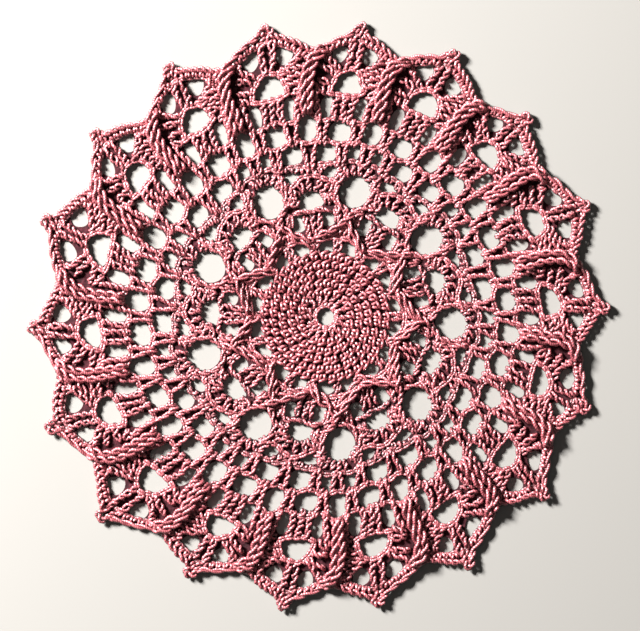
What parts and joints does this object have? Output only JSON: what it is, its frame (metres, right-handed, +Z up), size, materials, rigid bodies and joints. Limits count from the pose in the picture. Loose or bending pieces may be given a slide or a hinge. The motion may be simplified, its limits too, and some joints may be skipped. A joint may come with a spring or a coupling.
{
  "type": "lace doily",
  "caption": "Round crocheted doily in pink cotton, laid flat: close middle disc, raised zigzag, open net and a scalloped edge of ridged shells with picots.",
  "frame": {"origin": "middle of the cloth on the surface that it lies on", "axes": "+Z up out of the face, +Y towards the top of the design as seen from above"},
  "size_m": [0.1894, 0.1916, 0.0032],
  "materials": {
    "pink_cotton": "mercerised cotton thread, soft sheen"
  },
  "bodies": {
    "root": {"doily": "pink_cotton"}
  },
  "joints": []
}
